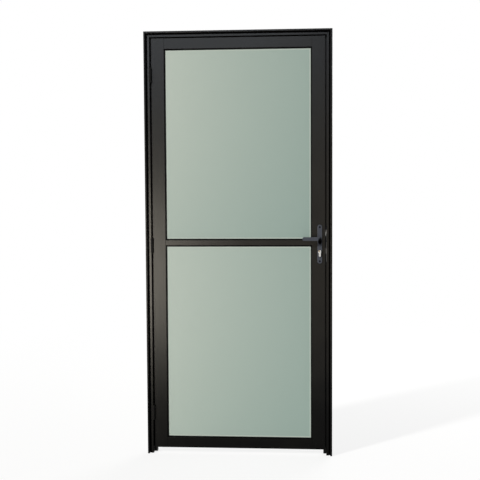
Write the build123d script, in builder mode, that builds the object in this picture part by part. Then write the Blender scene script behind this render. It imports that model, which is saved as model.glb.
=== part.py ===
from build123d import *
import os

os.makedirs("parts", exist_ok=True)

# A hinged glazed door in its three-sided aluminium frame. X runs to the lock side, Y away from
# the side that the door opens to, Z up. The origin is on the floor, midway between the jambs, in
# the middle plane of the closed leaf.

# Door set, over its trims
set_width = 930.0
set_height = 2115.0

# Clearances and the overrun of cuts
overrun = 5.0
slip_gap = 0.2
running_gap = 0.05
part_gap = 0.3
hole_gap = 0.1

# Frame section, from the outer edge towards the opening
lip_width = 9.5
groove_width = 7.0
ridge_width = 12.5
wall_cover = 15.0
trim_proud = 12.0
trim_wall = 1.6
trim_return = 14.0
groove_depth = 4.0
lip_round = 2.5
jamb_wall = 1.8
ridge_round = 0.9
stop_height = 14.0
stop_clearance = 2.0
stop_depth = 22.0

# Weather seal in the stop
seal_slot_width = 3.2
seal_slot_depth = 4.0
seal_slot_inset = 6.6
seal_head_width = 7.0
seal_edge_round = 0.8

# Gaps round the leaf
side_gap = 6.5
head_gap = 5.0
foot_gap = 30.0

# Leaf section
leaf_thickness = 32.0
stile_tube = 57.5
rail_tube = 45.5
mid_web = 13.3
mid_rail_level = 1069.5
leaf_wall = 1.8
face_flange = 6.5
glazing_lip = 4.0
lip_recess = 2.6
lip_thickness = 1.8
gasket_sight = 2.5
front_gasket_depth = 2.6
back_gasket_depth = 3.0
gasket_bevel = 1.2
glass_thickness = 6.0
glass_edge_gap = 3.0
bead_wall = 1.6
leaf_edge_round = 0.8
bead_round = 0.8

# Small pieces inside the leaf and the frame
block_length = 80.0
block_inset = 110.0
connector_length = 45.0
connector_wall = 4.0
end_cap_depth = 12.0
cleat_length = 70.0
fixing_radius = 4.25
fixing_foot = 100.0
fixing_head = 115.0
fixing_shares = (0.0, 0.3, 0.7, 1.0)
fixing_setback = 20.0

# Butt hinges
hinge_height = 70.0
hinge_foot = 181.0
hinge_head = 182.0
hinge_middle_share = 0.5
knuckle_radius = 6.9
knuckle_count = 5
knuckle_gap = 0.5
pin_radius = 3.0
pin_cap_radius = 6.4
pin_cap_height = 2.2
knuckle_clearance = 0.37
hinge_plate = 2.5
hinge_plate_depth = 27.0
hinge_notch_gap = 0.6
hinge_screw_rise = 25.0
hinge_screw_insets = (19.0, 9.0)
hinge_screw_length = 9.0

# Countersunk screws
screw_radius = 2.0
screw_head_radius = 3.9
faceplate_screw_length = 12.0

# Lock
backset = 26.0
lever_level = 1089.5
latch_follower_gap = 4.0
bolt_follower_gap = 11.0
cam_bolt_gap = 3.0
cam_case_gap = 1.3
case_headroom = 9.0
case_footroom = 7.5
case_thickness = 15.0
case_wall = 1.2
faceplate_width = 22.0
faceplate_lap = 31.0
faceplate_thickness = 2.5
faceplate_round = 3.0
faceplate_screw_inset = 10.0
latch_throw = 12.0
latch_thickness = 10.0
latch_height = 18.0
latch_length = 23.0
latch_bevel = 9.0
latch_nose = 1.5
bolt_throw = 14.0
bolt_thickness = 10.0
bolt_height = 20.0
bolt_guide = 14.0
bolt_lug_height = 6.0
bolt_lug_length = 9.0
bolt_recess = 0.4
follower_radius = 10.0
follower_arm_reach = 20.0
follower_arm_width = 5.0
follower_arm_thickness = 4.0

# Profile cylinder
cylinder_radius = 8.5
cylinder_web = 10.0
cylinder_height = 33.0
cylinder_proud = 2.5
cylinder_gap = 0.25
plug_radius = 6.5
plug_proud = 0.6
key_slot_width = 1.6
key_slot_height = 8.0
key_slot_depth = 12.0
cam_thickness = 9.6
cam_radius = 8.0
cam_reach = 15.0
cam_tooth_width = 7.0
cam_slot_gap = 0.4
cylinder_screw_radius = 2.5
cylinder_screw_head = 4.4

# Lever handles on their plates
plate_width = 23.0
plate_end = 12.0
plate_depth = 8.0
plate_round = 2.2
plate_screw_under = 14.5
plate_screw_over = 16.5
plate_screw_radius = 2.5
plate_screw_head = 4.6
plate_screw_seat = 2.0
neck_radius = 9.0
lever_reach = 86.0
lever_height = 18.0
lever_thickness = 11.0
lever_stand = 44.0
lever_round = 3.5
lever_bend = 13.0
collar_height = 3.0
spindle_side = 8.0
spindle_engagement = 20.0

# Strike plate
strike_short = 7.0
strike_depth = 24.0
strike_thickness = 1.5
strike_lap = 2.5
strike_bend = 1.4
strike_hole_gap = 1.5
strike_screw_inset = 12.0
strike_screw_setback = 12.0
strike_screw_length = 10.0
strike_screw_head = 3.3

# Derived places, Y first
leaf_front = -leaf_thickness / 2
leaf_back = leaf_thickness / 2
groove_floor = leaf_front + groove_depth
trim_front = leaf_front - trim_proud
jamb_step = groove_floor + trim_wall
stop_front = leaf_back + stop_clearance
jamb_back = stop_front + stop_depth
lip_front = leaf_front + lip_recess
lip_back = lip_front + lip_thickness
glass_front = lip_back + front_gasket_depth
glass_back = glass_front + glass_thickness
bead_front = glass_back + back_gasket_depth

# Derived places across the frame and the leaf
ridge_start = lip_width + groove_width
rebate = ridge_start + ridge_width
stop_edge = rebate + stop_height
leaf_half = set_width / 2 - rebate - side_gap
leaf_top = set_height - rebate - head_gap
leaf_bottom = foot_gap
tube_half = leaf_half - stile_tube
flange_half = tube_half - face_flange
lip_half = flange_half - glazing_lip
sight_half = lip_half - gasket_sight
gasket_half = flange_half + leaf_wall
glass_half = tube_half - glass_edge_gap
rebate_half = set_width / 2 - rebate

# Each pane lies between the tubes of two rails
pane_levels = {
    "lower": (leaf_bottom + rail_tube, mid_rail_level - mid_web / 2),
    "upper": (mid_rail_level + mid_web / 2, leaf_top - rail_tube),
}

# Places of the lock: the latch lies over the follower, the bolt under it, and the plug under the bolt
lock_x = leaf_half - backset
latch_level = lever_level + follower_radius + latch_follower_gap + latch_height / 2
bolt_level = lever_level - follower_radius - bolt_follower_gap - bolt_height / 2
plug_level = bolt_level - bolt_height / 2 - bolt_lug_height - cam_bolt_gap - cam_reach
plug_drop = lever_level - plug_level
cylinder_half_length = leaf_thickness / 2 + plate_depth + cylinder_proud
cylinder_foot_radius = cylinder_web / 2
cylinder_foot_drop = cylinder_height - cylinder_radius - cylinder_foot_radius
cylinder_screw_level = plug_level - cylinder_foot_drop

# The case holds them all, and the faceplate, handle plates and strike follow the case
case_front = leaf_half
case_rear = lock_x - cam_reach - cam_case_gap - case_wall
case_depth = case_front - case_rear
case_bottom = plug_level - cylinder_foot_drop - cylinder_foot_radius - case_footroom
case_top = latch_level + latch_height / 2 + case_headroom
case_height = case_top - case_bottom
case_level = (case_bottom + case_top) / 2
faceplate_face = leaf_half + faceplate_thickness
faceplate_bottom = case_bottom - faceplate_lap
faceplate_top = case_top + faceplate_lap
faceplate_screw_levels = (
    faceplate_bottom + faceplate_screw_inset,
    faceplate_top - faceplate_screw_inset,
)
plate_screw_levels = (case_bottom - plate_screw_under, case_top + plate_screw_over)
plate_level = (plate_screw_levels[0] + plate_screw_levels[1]) / 2
plate_height = plate_screw_levels[1] - plate_screw_levels[0] + 2 * plate_end
strike_bottom = faceplate_bottom + strike_short
strike_top = faceplate_top - strike_short
strike_screw_levels = (strike_bottom + strike_screw_inset, strike_top - strike_screw_inset)

# Places of the hinges: the knuckles just clear the corners of the leaf and the frame
bottom_hinge_level = leaf_bottom + hinge_foot
top_hinge_level = leaf_top - hinge_head
hinge_span = top_hinge_level - bottom_hinge_level
hinge_levels = {
    "bottom": bottom_hinge_level,
    "middle": bottom_hinge_level + hinge_middle_share * hinge_span,
    "top": top_hinge_level,
}
pin_setout = ((knuckle_radius + knuckle_clearance) ** 2 - (side_gap / 2) ** 2) ** 0.5
hinge_x = -leaf_half - side_gap / 2
hinge_y = leaf_front - pin_setout
hinge_plate_front = hinge_y + knuckle_radius + hinge_notch_gap
hinge_plate_back = hinge_plate_front + hinge_plate_depth
knuckle_pitch = hinge_height / knuckle_count

hinge_side = Plane(origin=(-set_width / 2, 0, 0), x_dir=(1, 0, 0), z_dir=(0, 0, 1))
lock_side = Plane(origin=(set_width / 2, 0, set_height), x_dir=(-1, 0, 0), z_dir=(0, 0, -1))
head_side = Plane(origin=(-set_width / 2, 0, set_height), x_dir=(0, 0, -1), z_dir=(1, 0, 0))
hinge_mitre = Plane(origin=(-set_width / 2, 0, set_height), x_dir=(0, 1, 0), z_dir=(1, 0, 1))
lock_mitre = Plane(origin=(set_width / 2, 0, set_height), x_dir=(0, 1, 0), z_dir=(-1, 0, 1))


def write(piece, name):
    piece.part.label = name
    export_step(piece.part, "parts/" + name + ".step")


def profile(outline, cavities, nose_radius):
    # A closed section with its front corners rounded and its chambers left open
    with BuildSketch() as section:
        with BuildLine():
            Polyline(*outline, close=True)
        make_face()
        fillet(section.vertices().group_by(Axis.Y)[0], radius=nose_radius)
        for cavity in cavities:
            with BuildLine():
                Polyline(*cavity, close=True)
            make_face(mode=Mode.SUBTRACT)
    return section.sketch


def box_points(low, high):
    return (low, (high[0], low[1]), high, (low[0], high[1]))


def facing(side, level, reach):
    # A plane on the leaf's front (-1) or back (1), looking out of it, with Z as its own Y
    origin = (lock_x, side * (leaf_thickness / 2 + reach), level)
    return Plane(origin=origin, x_dir=(-side, 0, 0), z_dir=(0, side, 0))


def countersunk(piece_seats, radius, head_radius, length):
    # Screws with their heads flush in the seats, which look the way the heads do
    head_depth = head_radius - radius
    with BuildPart() as screws:
        with Locations(*piece_seats):
            Cylinder(radius, length, align=(Align.CENTER, Align.CENTER, Align.MAX))
            Cone(radius, head_radius, head_depth, align=(Align.CENTER, Align.CENTER, Align.MAX))
    return screws


def cylinder_outline(grow):
    # The keyhole-shaped outline of a profile cylinder, about its plug's axis
    with BuildSketch() as outline:
        Circle(cylinder_radius + grow)
        with Locations((0, -cylinder_foot_drop / 2)):
            Rectangle(cylinder_web + 2 * grow, cylinder_foot_drop)
        with Locations((0, -cylinder_foot_drop)):
            Circle(cylinder_foot_radius + grow)
    return outline.sketch


# Frame extrusions: a main chamber behind the ridge, a chamber in the stop and a slot for the seal
seal_centre = rebate + seal_slot_inset
jamb_section = profile(
    (
        (ridge_start, leaf_front),
        (rebate, leaf_front),
        (rebate, stop_front),
        (stop_edge, stop_front),
        (stop_edge, jamb_back),
        (wall_cover, jamb_back),
        (wall_cover, jamb_step),
        (ridge_start, jamb_step),
    ),
    (
        (
            (ridge_start + jamb_wall, leaf_front + jamb_wall),
            (rebate - jamb_wall, leaf_front + jamb_wall),
            (rebate - jamb_wall, jamb_back - jamb_wall),
            (wall_cover + jamb_wall, jamb_back - jamb_wall),
            (wall_cover + jamb_wall, jamb_step + jamb_wall),
            (ridge_start + jamb_wall, jamb_step + jamb_wall),
        ),
        box_points(
            (rebate, stop_front + seal_slot_depth + jamb_wall),
            (stop_edge - jamb_wall, jamb_back - jamb_wall),
        ),
        box_points(
            (seal_centre - seal_slot_width / 2, stop_front - overrun),
            (seal_centre + seal_slot_width / 2, stop_front + seal_slot_depth),
        ),
    ),
    ridge_round,
)

# Trims that clip on the frame's front and cover the joint with the wall
trim_section = profile(
    (
        (0, trim_front),
        (lip_width, trim_front),
        (lip_width, groove_floor),
        (ridge_start, groove_floor),
        (ridge_start, jamb_step),
        (lip_width - trim_wall, jamb_step),
        (lip_width - trim_wall, trim_front + trim_wall),
        (trim_wall, trim_front + trim_wall),
        (trim_wall, trim_front + trim_return),
        (0, trim_front + trim_return),
    ),
    (),
    lip_round,
)

seal_section = profile(
    (
        (seal_centre - seal_head_width / 2, leaf_back + part_gap),
        (seal_centre + seal_head_width / 2, leaf_back + part_gap),
        (seal_centre + seal_head_width / 2, stop_front),
        (seal_centre + seal_slot_width / 2 - slip_gap, stop_front),
        (seal_centre + seal_slot_width / 2 - slip_gap, stop_front + seal_slot_depth - slip_gap),
        (seal_centre - seal_slot_width / 2 + slip_gap, stop_front + seal_slot_depth - slip_gap),
        (seal_centre - seal_slot_width / 2 + slip_gap, stop_front),
        (seal_centre - seal_head_width / 2, stop_front),
    ),
    (),
    seal_edge_round,
)

fixing_y = leaf_front + fixing_setback
fixing_span = set_height - fixing_foot - fixing_head
fixing_levels = [fixing_foot + share * fixing_span for share in fixing_shares]
hinge_seats = {}
for hinge_name, level in hinge_levels.items():
    rises = (-hinge_screw_rise, 0, hinge_screw_rise)
    insets = (hinge_screw_insets[0], hinge_screw_insets[1], hinge_screw_insets[0])
    hinge_seats[hinge_name] = [
        (hinge_plate_back - inset, level + rise) for rise, inset in zip(rises, insets)
    ]

with BuildPart() as hinge_jamb:
    with BuildSketch(hinge_side):
        add(jamb_section)
    extrude(amount=set_height)
    split(bisect_by=hinge_mitre, keep=Keep.BOTTOM)
    with BuildSketch(Plane.YZ.offset(-set_width / 2)):
        with Locations(*[(fixing_y, level) for level in fixing_levels]):
            Circle(fixing_radius)
    extrude(amount=rebate + overrun, mode=Mode.SUBTRACT)
    with BuildSketch(Plane.YZ.offset(-rebate_half - jamb_wall - overrun)):
        with Locations(*[seat for seats in hinge_seats.values() for seat in seats]):
            Circle(screw_radius + hole_gap)
    extrude(amount=jamb_wall + 2 * overrun, mode=Mode.SUBTRACT)
write(hinge_jamb, "hinge_jamb")

strike_screw_y = leaf_front + strike_screw_setback
latch_hole = (latch_thickness + 2 * strike_hole_gap, latch_height + 2 * strike_hole_gap)
bolt_hole = (bolt_thickness + 2 * strike_hole_gap, bolt_height + 2 * strike_hole_gap)

with BuildPart() as lock_jamb:
    with BuildSketch(lock_side):
        add(jamb_section)
    extrude(amount=set_height)
    split(bisect_by=lock_mitre, keep=Keep.BOTTOM)
    with BuildSketch(Plane.YZ.offset(set_width / 2)):
        with Locations(*[(fixing_y, level) for level in fixing_levels]):
            Circle(fixing_radius)
    extrude(amount=-rebate - overrun, mode=Mode.SUBTRACT)
    with BuildSketch(Plane.YZ.offset(rebate_half - overrun)):
        with Locations((0, latch_level)):
            Rectangle(*latch_hole)
        with Locations((0, bolt_level)):
            Rectangle(*bolt_hole)
        with Locations(*[(strike_screw_y, level) for level in strike_screw_levels]):
            Circle(screw_radius + hole_gap)
    extrude(amount=jamb_wall + 2 * overrun, mode=Mode.SUBTRACT)
write(lock_jamb, "lock_jamb")

with BuildPart() as head_jamb:
    with BuildSketch(head_side):
        add(jamb_section)
    extrude(amount=set_width)
    split(bisect_by=hinge_mitre, keep=Keep.TOP)
    split(bisect_by=lock_mitre, keep=Keep.TOP)
write(head_jamb, "head_jamb")

for section, kind in ((trim_section, "trim"), (seal_section, "seal")):
    with BuildPart() as hinge_run:
        with BuildSketch(hinge_side):
            add(section)
        extrude(amount=set_height)
        split(bisect_by=hinge_mitre, keep=Keep.BOTTOM)
    write(hinge_run, "hinge_side_" + kind)

    with BuildPart() as lock_run:
        with BuildSketch(lock_side):
            add(section)
        extrude(amount=set_height)
        split(bisect_by=lock_mitre, keep=Keep.BOTTOM)
    write(lock_run, "lock_side_" + kind)

    with BuildPart() as head_run:
        with BuildSketch(head_side):
            add(section)
        extrude(amount=set_width)
        split(bisect_by=hinge_mitre, keep=Keep.TOP)
        split(bisect_by=lock_mitre, keep=Keep.TOP)
    write(head_run, "head_" + kind)

# Corner cleats in the main chamber draw the mitres together
cleat_outer = wall_cover + jamb_wall + slip_gap
cleat_inner = rebate - jamb_wall - slip_gap
cleat_front = jamb_step + jamb_wall + slip_gap
cleat_back = jamb_back - jamb_wall - slip_gap
with BuildPart() as corner_cleats:
    with BuildSketch(Plane.XZ.offset(-cleat_front)):
        for side in (-1, 1):
            outer_x = side * (set_width / 2 - cleat_outer)
            inner_x = side * (set_width / 2 - cleat_inner)
            with BuildLine():
                Polyline(
                    (outer_x, set_height - cleat_outer),
                    (outer_x - side * cleat_length, set_height - cleat_outer),
                    (outer_x - side * cleat_length, set_height - cleat_inner),
                    (inner_x, set_height - cleat_inner),
                    (inner_x, set_height - cleat_outer - cleat_length),
                    (outer_x, set_height - cleat_outer - cleat_length),
                    close=True,
                )
            make_face()
    extrude(amount=cleat_front - cleat_back)
write(corner_cleats, "corner_cleats")

# Strike plate, bent round the ridge's inner corner
with BuildPart() as strike_plate:
    with BuildSketch(Plane.XY.offset(strike_bottom)) as bend:
        with BuildLine():
            Polyline(
                (rebate_half, leaf_front + strike_depth),
                (rebate_half - strike_thickness, leaf_front + strike_depth),
                (rebate_half - strike_thickness, leaf_front - strike_thickness),
                (rebate_half + strike_lap, leaf_front - strike_thickness),
                (rebate_half + strike_lap, leaf_front),
                (rebate_half, leaf_front),
                close=True,
            )
        make_face()
        bend_corner = bend.vertices().group_by(Axis.Y)[0].sort_by(Axis.X)[0]
        fillet(bend_corner, radius=strike_bend)
    extrude(amount=strike_top - strike_bottom)
    with BuildSketch(Plane.YZ.offset(rebate_half + overrun)):
        with Locations((0, latch_level)):
            Rectangle(*latch_hole)
        with Locations((0, bolt_level)):
            Rectangle(*bolt_hole)
    extrude(amount=-strike_thickness - 2 * overrun, mode=Mode.SUBTRACT)
    strike_seats = [
        Plane(origin=(rebate_half - strike_thickness, strike_screw_y, level), z_dir=(-1, 0, 0))
        for level in strike_screw_levels
    ]
    with Locations(*strike_seats):
        CounterSinkHole(
            screw_radius + hole_gap, strike_screw_head + hole_gap, overrun, counter_sink_angle=90
        )
write(strike_plate, "strike_plate")
write(
    countersunk(strike_seats, screw_radius, strike_screw_head, strike_screw_length),
    "strike_screws",
)

# Butt hinges: two plates in the gap, knuckles by turns on a fixed pin
frame_seats = []
door_seats = []
for hinge_name, level in hinge_levels.items():
    hinge_bottom = level - hinge_height / 2
    for side, leaf_name, first_turn in ((-1, "frame", 0), (1, "door", 1)):
        plate_x = hinge_x + side * (side_gap / 2 - hinge_plate / 2)
        exposed_x = hinge_x + side * (side_gap / 2 - hinge_plate)
        seats = [
            Plane(origin=(exposed_x, seat[0], seat[1]), z_dir=(-side, 0, 0))
            for seat in hinge_seats[hinge_name]
        ]
        with BuildPart() as hinge_leaf:
            with BuildSketch(Plane.XY.offset(hinge_bottom)):
                with Locations((plate_x, (hinge_plate_front + hinge_plate_back) / 2)):
                    Rectangle(hinge_plate, hinge_plate_depth)
            extrude(amount=hinge_height)
            for turn in range(first_turn, knuckle_count, 2):
                knuckle_bottom = hinge_bottom + turn * knuckle_pitch + knuckle_gap / 2
                with BuildSketch(Plane.XY.offset(knuckle_bottom)):
                    with Locations((hinge_x, hinge_y)):
                        Circle(knuckle_radius)
                    with Locations((plate_x, (hinge_y + hinge_plate_front) / 2)):
                        Rectangle(hinge_plate, hinge_plate_front - hinge_y)
                extrude(amount=knuckle_pitch - knuckle_gap)
            with BuildSketch(Plane.XY.offset(hinge_bottom - overrun)):
                with Locations((hinge_x, hinge_y)):
                    Circle(pin_radius + running_gap)
            extrude(amount=hinge_height + 2 * overrun, mode=Mode.SUBTRACT)
            with Locations(*seats):
                CounterSinkHole(
                    screw_radius + hole_gap,
                    screw_head_radius + hole_gap,
                    overrun,
                    counter_sink_angle=90,
                )
        write(hinge_leaf, hinge_name + "_hinge_" + leaf_name + "_leaf")
        if side < 0:
            frame_seats += seats
        else:
            door_seats += seats

write(
    countersunk(frame_seats, screw_radius, screw_head_radius, hinge_screw_length),
    "hinge_frame_screws",
)
write(
    countersunk(door_seats, screw_radius, screw_head_radius, hinge_screw_length),
    "hinge_door_screws",
)

with BuildPart() as hinge_pins:
    with Locations(*[(hinge_x, hinge_y, level) for level in hinge_levels.values()]):
        Cylinder(pin_radius, hinge_height)
    cap_rise = (hinge_height + pin_cap_height) / 2
    with Locations(
        *[
            (hinge_x, hinge_y, level + end * cap_rise)
            for level in hinge_levels.values()
            for end in (-1, 1)
        ]
    ):
        Cylinder(pin_cap_radius, pin_cap_height)
write(hinge_pins, "hinge_pins")


def leaf_section(tube):
    # A tube with a flange over the glass and a glazing lip set back from the face
    return profile(
        (
            (0, leaf_front),
            (tube + face_flange, leaf_front),
            (tube + face_flange, lip_front),
            (tube + face_flange + glazing_lip, lip_front),
            (tube + face_flange + glazing_lip, lip_back),
            (tube + face_flange - leaf_wall, lip_back),
            (tube + face_flange - leaf_wall, leaf_front + leaf_wall),
            (tube, leaf_front + leaf_wall),
            (tube, leaf_back),
            (0, leaf_back),
        ),
        (
            box_points(
                (leaf_wall, leaf_front + leaf_wall), (tube - leaf_wall, leaf_back - leaf_wall)
            ),
        ),
        leaf_edge_round,
    )


# Leaf extrusions
stile_section = leaf_section(stile_tube)
rail_section = leaf_section(rail_tube)

web_half = mid_web / 2
flange_reach = web_half + face_flange
lip_reach = flange_reach + glazing_lip
mid_section = profile(
    (
        (-flange_reach, leaf_front),
        (flange_reach, leaf_front),
        (flange_reach, lip_front),
        (lip_reach, lip_front),
        (lip_reach, lip_back),
        (flange_reach - leaf_wall, lip_back),
        (flange_reach - leaf_wall, leaf_front + leaf_wall),
        (web_half, leaf_front + leaf_wall),
        (web_half, leaf_back),
        (-web_half, leaf_back),
        (-web_half, leaf_front + leaf_wall),
        (-flange_reach + leaf_wall, leaf_front + leaf_wall),
        (-flange_reach + leaf_wall, lip_back),
        (-lip_reach, lip_back),
        (-lip_reach, lip_front),
        (-flange_reach, lip_front),
    ),
    (
        box_points(
            (-web_half + leaf_wall, leaf_front + leaf_wall),
            (web_half - leaf_wall, leaf_back - leaf_wall),
        ),
    ),
    leaf_edge_round,
)

# The stiles run full height
leaf_height = leaf_top - leaf_bottom
hinge_stile_side = Plane(origin=(-leaf_half, 0, leaf_bottom), x_dir=(1, 0, 0), z_dir=(0, 0, 1))
lock_stile_side = Plane(origin=(leaf_half, 0, leaf_top), x_dir=(-1, 0, 0), z_dir=(0, 0, -1))


def lip_bars(side):
    # The lengths of a stile's glazing lip, one beside each pane
    with BuildPart() as bars:
        for pane_bottom, pane_top in pane_levels.values():
            centre_x = side * (flange_half + lip_half) / 2
            centre_y = (lip_front + lip_back) / 2
            with Locations((centre_x, centre_y, (pane_bottom + pane_top) / 2)):
                Box(glazing_lip, lip_thickness, pane_top - pane_bottom - 2 * face_flange)
    return bars.part


def lip_notches(side):
    # What is milled off a stile's lip, so that the rails' faces can butt against its flange
    with BuildPart() as notches:
        centre_x = side * (flange_half + lip_half) / 2
        centre_y = (lip_front + lip_back) / 2
        with Locations((centre_x, centre_y, (leaf_bottom + leaf_top) / 2)):
            Box(glazing_lip, lip_thickness, leaf_height)
        add(lip_bars(side), mode=Mode.SUBTRACT)
    return notches.part


with BuildPart() as hinge_stile:
    with BuildSketch(hinge_stile_side):
        add(stile_section)
    extrude(amount=leaf_height)
    add(lip_notches(-1), mode=Mode.SUBTRACT)
    with BuildSketch(Plane.YZ.offset(-leaf_half - overrun)):
        with Locations(*[seat for seats in hinge_seats.values() for seat in seats]):
            Circle(screw_radius + hole_gap)
    extrude(amount=leaf_wall + 2 * overrun, mode=Mode.SUBTRACT)
write(hinge_stile, "hinge_stile")

with BuildPart() as lock_stile:
    with BuildSketch(lock_stile_side):
        add(stile_section)
    extrude(amount=leaf_height)
    add(lip_notches(1), mode=Mode.SUBTRACT)
    with BuildSketch(Plane.YZ.offset(leaf_half + overrun)):
        with Locations((0, case_level)):
            Rectangle(case_thickness + 2 * part_gap, case_height + 2 * part_gap)
        with Locations(*[(0, level) for level in faceplate_screw_levels]):
            Circle(screw_radius + hole_gap)
    extrude(amount=-leaf_wall - 2 * overrun, mode=Mode.SUBTRACT)
    with BuildSketch(facing(-1, plug_level, overrun)):
        add(cylinder_outline(part_gap))
        with Locations((0, plug_drop)):
            Circle(follower_radius + part_gap)
        with Locations(*[(0, level - plug_level) for level in plate_screw_levels]):
            Circle(plate_screw_radius + part_gap)
    extrude(amount=-leaf_thickness - 2 * overrun, mode=Mode.SUBTRACT)
write(lock_stile, "lock_stile")

# Rails butt between the stiles: the tube reaches the stiles' tubes, the face their flanges
top_rail_side = Plane(origin=(-tube_half, 0, leaf_top), x_dir=(0, 0, -1), z_dir=(1, 0, 0))
mid_rail_side = Plane(origin=(-tube_half, 0, mid_rail_level), x_dir=(0, 0, -1), z_dir=(1, 0, 0))
bottom_rail_side = Plane(origin=(tube_half, 0, leaf_bottom), x_dir=(0, 0, 1), z_dir=(-1, 0, 0))
rails = (
    ("top_rail", top_rail_side, rail_section),
    ("mid_rail", mid_rail_side, mid_section),
    ("bottom_rail", bottom_rail_side, rail_section),
)
for rail_name, rail_side, section in rails:
    with BuildPart() as rail:
        with BuildSketch(rail_side):
            add(section)
        extrude(amount=2 * tube_half)
        for end in (-1, 1):
            low = (end * flange_half, leaf_front - overrun)
            high = (end * (tube_half + overrun), lip_back)
            with BuildSketch(Plane.XY):
                with BuildLine():
                    Polyline(*box_points(low, high), close=True)
                make_face()
            extrude(amount=set_height, mode=Mode.SUBTRACT)
            add(lip_bars(end), mode=Mode.SUBTRACT)
    write(rail, rail_name)

# Connectors that the rails slide over, fixed to the stiles' inner walls
connector_front = lip_back + slip_gap
connector_back = leaf_back - leaf_wall - slip_gap
connector_rows = (
    (leaf_bottom + rail_tube / 2, rail_tube),
    (mid_rail_level, mid_web),
    (leaf_top - rail_tube / 2, rail_tube),
)
with BuildPart() as rail_connectors:
    for level, tube in connector_rows:
        height = tube - 2 * (leaf_wall + slip_gap)
        depth = connector_back - connector_front
        middle = (connector_front + connector_back) / 2
        for end in (-1, 1):
            with Locations((end * (tube_half - connector_length / 2), middle, level)):
                Box(connector_length, depth, height)
                if height > 4 * connector_wall:
                    Box(
                        connector_length,
                        depth - 2 * connector_wall,
                        height - 2 * connector_wall,
                        mode=Mode.SUBTRACT,
                    )
write(rail_connectors, "rail_connectors")

# Plastic plugs in the stiles' open ends
cap_width = stile_tube - 2 * (leaf_wall + slip_gap)
cap_depth = leaf_thickness - 2 * (leaf_wall + slip_gap)
with BuildPart() as stile_end_caps:
    for side in (-1, 1):
        for level in (leaf_bottom + end_cap_depth / 2, leaf_top - end_cap_depth / 2):
            with Locations((side * (leaf_half - stile_tube / 2), 0, level)):
                Box(cap_width, cap_depth, end_cap_depth)
write(stile_end_caps, "stile_end_caps")

# Glazing: each pane on its blocks, between two gaskets, held by four beads on the back
bead_width = face_flange + glazing_lip + gasket_sight
with BuildSketch() as bead_sketch:
    with BuildLine():
        Polyline(
            (0, bead_front),
            (bead_width, bead_front),
            (bead_width, leaf_back),
            (0, leaf_back),
            (0, leaf_back - bead_wall),
            (bead_width - bead_wall, leaf_back - bead_wall),
            (bead_width - bead_wall, bead_front + bead_wall),
            (0, bead_front + bead_wall),
            close=True,
        )
    make_face()
    bead_corner = bead_sketch.vertices().group_by(Axis.Y)[-1].sort_by(Axis.X)[-1]
    fillet(bead_corner, radius=bead_round)
bead_section = bead_sketch.sketch

for pane_name, (pane_bottom, pane_top) in pane_levels.items():
    pane_middle = (pane_bottom + pane_top) / 2
    pane_height = pane_top - pane_bottom

    with BuildPart() as glass:
        with Locations((0, (glass_front + glass_back) / 2, pane_middle)):
            Box(2 * glass_half, glass_thickness, pane_height - 2 * glass_edge_gap)
    write(glass, pane_name + "_glass")

    gasket_height = pane_height - 2 * (face_flange - leaf_wall)
    sight_height = pane_height - 2 * bead_width
    rings = (
        ("front", lip_back, front_gasket_depth, 0),
        ("back", glass_back, back_gasket_depth, -1),
    )
    for ring_name, ring_front, ring_depth, seen in rings:
        with BuildPart() as gasket:
            with BuildSketch(Plane.XZ.offset(-ring_front)):
                with Locations((0, pane_middle)):
                    Rectangle(2 * gasket_half, gasket_height)
                    Rectangle(2 * sight_half, sight_height, mode=Mode.SUBTRACT)
            extrude(amount=-ring_depth)
            seen_face = gasket.faces().sort_by(Axis.Y)[seen]
            chamfer(seen_face.inner_wires()[0].edges(), length=gasket_bevel)
        write(gasket, pane_name + "_" + ring_name + "_gasket")

    side_length = pane_height - 2 * bead_width
    bead_runs = (
        ("bottom", (tube_half, 0, pane_bottom), (0, 0, 1), (-1, 0, 0), 2 * tube_half),
        ("top", (-tube_half, 0, pane_top), (0, 0, -1), (1, 0, 0), 2 * tube_half),
        ("hinge_side", (-tube_half, 0, pane_bottom + bead_width), (1, 0, 0), (0, 0, 1), side_length),
        ("lock_side", (tube_half, 0, pane_top - bead_width), (-1, 0, 0), (0, 0, -1), side_length),
    )
    for run_name, origin, across, along, length in bead_runs:
        with BuildPart() as bead:
            with BuildSketch(Plane(origin=origin, x_dir=across, z_dir=along)):
                add(bead_section)
            extrude(amount=length)
        write(bead, pane_name + "_" + run_name + "_bead")

with BuildPart() as setting_blocks:
    for pane_bottom, pane_top in pane_levels.values():
        for side in (-1, 1):
            block_x = side * (glass_half - block_inset)
            block_y = (glass_front + glass_back) / 2
            with Locations((block_x, block_y, pane_bottom + glass_edge_gap / 2)):
                Box(block_length, glass_thickness, glass_edge_gap)
write(setting_blocks, "setting_blocks")

# Mortice lock: an open-fronted case in the stile, with its faceplate on the leaf's edge
plug_plane = Plane(origin=(lock_x, 0, plug_level), x_dir=(1, 0, 0), z_dir=(0, -1, 0))
lever_plane = Plane(origin=(lock_x, 0, lever_level), x_dir=(1, 0, 0), z_dir=(0, -1, 0))
case_middle = (case_rear + case_front) / 2
latch_way = (latch_thickness + 2 * part_gap, latch_height + 2 * part_gap)
bolt_way = (bolt_thickness + 2 * part_gap, bolt_height + 2 * part_gap)

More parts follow.
